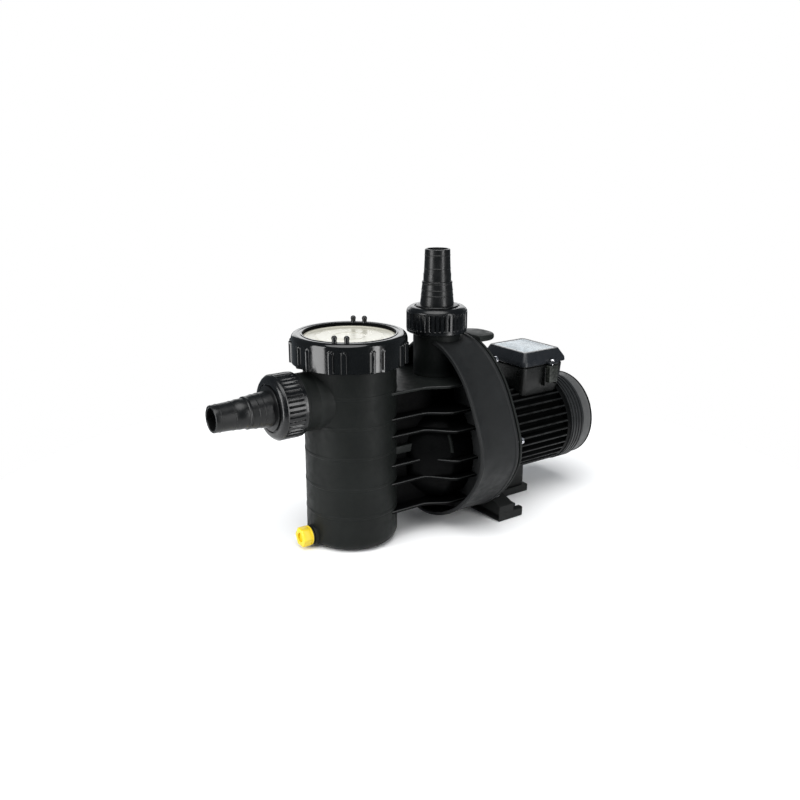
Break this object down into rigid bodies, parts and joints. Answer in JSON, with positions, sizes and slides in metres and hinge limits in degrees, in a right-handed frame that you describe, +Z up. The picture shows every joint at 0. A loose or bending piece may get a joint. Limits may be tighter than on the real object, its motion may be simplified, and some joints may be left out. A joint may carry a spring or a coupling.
{
  "type": "pool pump",
  "caption": "Pool pump with strainer pot under a clear lid, ribbed spiral casing, stepped hose tails on union nuts and a finned motor with terminal box.",
  "frame": {"origin": "on the floor, under the middle of the strainer pot; the pot's round underside rests there", "axes": "+X along the pump and motor axis, from the pot towards the fan cowl; +Z up, along the pressure pipe; +Y to the side away from the bulge of the spiral casing"},
  "size_m": [0.556, 0.2159, 0.355],
  "materials": {
    "casing_black": "satin",
    "gloss_black": "gloss",
    "satin_black": "satin",
    "rubber": "matte",
    "clear_plastic": "clear gloss",
    "cream_plastic": "satin",
    "yellow_plastic": "satin",
    "impeller_plastic": "satin",
    "ceramic": "polished",
    "carbon": "lapped",
    "steel": "turned",
    "lamination": "stacked sheet",
    "copper_winding": "lacquered wire",
    "motor_black": "black coating",
    "cowl_grey": "satin",
    "box_black": "satin",
    "label_blank": "printed film, blank",
    "capacitor_grey": "satin",
    "foot_black": "matte"
  },
  "bodies": {
    "pump": {"strainer_pot": "casing_black", "suction_neck": "casing_black", "rib_web": "casing_black", "pump_casing": "casing_black", "pressure_riser": "casing_black", "seal_plate": "casing_black", "casing_gasket": "rubber", "casing_bolt_1": "steel", "casing_bolt_2": "steel", "casing_bolt_3": "steel", "casing_bolt_4": "steel", "casing_bolt_5": "steel", "casing_bolt_6": "steel", "diffuser": "impeller_plastic", "seal_seat": "ceramic", "stator_core": "lamination", "winding_front": "copper_winding", "winding_rear": "copper_winding", "front_bearing": "steel", "rear_bearing": "steel", "front_shield": "motor_black", "rear_shield": "motor_black", "motor_frame": "motor_black", "fan_cowl": "cowl_grey", "terminal_box_base": "box_black", "box_gasket": "rubber", "terminal_block": "cream_plastic", "run_capacitor": "capacitor_grey", "cable_gland": "satin_black", "foot": "foot_black"},
    "lid": {"clear_lid": "clear_plastic", "lid_o_ring": "rubber"},
    "lid_nut": {"lid_ring": "gloss_black"},
    "basket": {"strainer_basket": "cream_plastic"},
    "inlet_tail": {"inlet_hose_tail": "satin_black", "inlet_o_ring": "rubber"},
    "inlet_nut": {"inlet_union_nut": "gloss_black"},
    "outlet_tail": {"outlet_hose_tail": "satin_black", "outlet_o_ring": "rubber"},
    "outlet_nut": {"outlet_union_nut": "gloss_black"},
    "drain_washer": {"drain_seal": "rubber"},
    "drain_screw": {"drain_plug": "yellow_plastic"},
    "rotor": {"shaft": "steel", "rotor_core": "lamination", "impeller": "impeller_plastic", "cooling_fan": "satin_black", "seal_face": "carbon"},
    "box_lid": {"terminal_box_lid": "box_black", "label_plate": "label_blank", "box_screw_1": "steel", "box_screw_2": "steel"},
    "gland_cap": {"gland_nut": "satin_black"}
  },
  "joints": [
    {"name": "lid_lift", "type": "slide", "parent": "pump", "child": "lid", "axis": [0, 0, 1], "range_m": [0, 0.3]},
    {"name": "lid_nut_turn", "type": "hinge", "parent": "lid", "child": "lid_nut", "pos_m": [0, 0, 0.248], "axis": [0, 0, 1], "range_deg": [0, 450]},
    {"name": "basket_lift", "type": "slide", "parent": "pump", "child": "basket", "axis": [0, 0, 1], "range_m": [0, 0.196]},
    {"name": "inlet_tail_out", "type": "slide", "parent": "pump", "child": "inlet_tail", "axis": [-1, 0, 0], "range_m": [0, 0.06]},
    {"name": "inlet_nut_turn", "type": "hinge", "parent": "inlet_tail", "child": "inlet_nut", "pos_m": [-0.0935, 0, 0.1888], "axis": [-1, 0, 0], "range_deg": [0, 720]},
    {"name": "outlet_tail_out", "type": "slide", "parent": "pump", "child": "outlet_tail", "axis": [0, 0, 1], "range_m": [0, 0.06]},
    {"name": "outlet_nut_turn", "type": "hinge", "parent": "outlet_tail", "child": "outlet_nut", "pos_m": [0.1322, 0, 0.2665], "axis": [0, 0, 1], "range_deg": [0, 720]},
    {"name": "drain_plug_out", "type": "slide", "parent": "pump", "child": "drain_washer", "axis": [-1, 0, 0], "range_m": [0, 0.0101]},
    {"name": "drain_plug_turn", "type": "hinge", "parent": "drain_washer", "child": "drain_screw", "pos_m": [-0.068, 0, 0.016], "axis": [-1, 0, 0], "range_deg": [0, 1800]},
    {"name": "shaft_spin", "type": "hinge", "parent": "pump", "child": "rotor", "pos_m": [0.2, 0, 0.1], "axis": [1, 0, 0], "continuous": true},
    {"name": "box_lid_lift", "type": "slide", "parent": "pump", "child": "box_lid", "axis": [0, 0, 1], "range_m": [0, 0.08]},
    {"name": "gland_nut_turn", "type": "hinge", "parent": "pump", "child": "gland_cap", "pos_m": [0.33, -0.018, 0.179], "axis": [1, 0, 0], "range_deg": [0, 540]}
  ],
  "couplings": [
    {"joint": "basket_lift", "follows": "lid_lift", "ratio": 0.65},
    {"joint": "drain_plug_out", "follows": "drain_plug_turn", "m_per_rad": 0.000318}
  ]
}
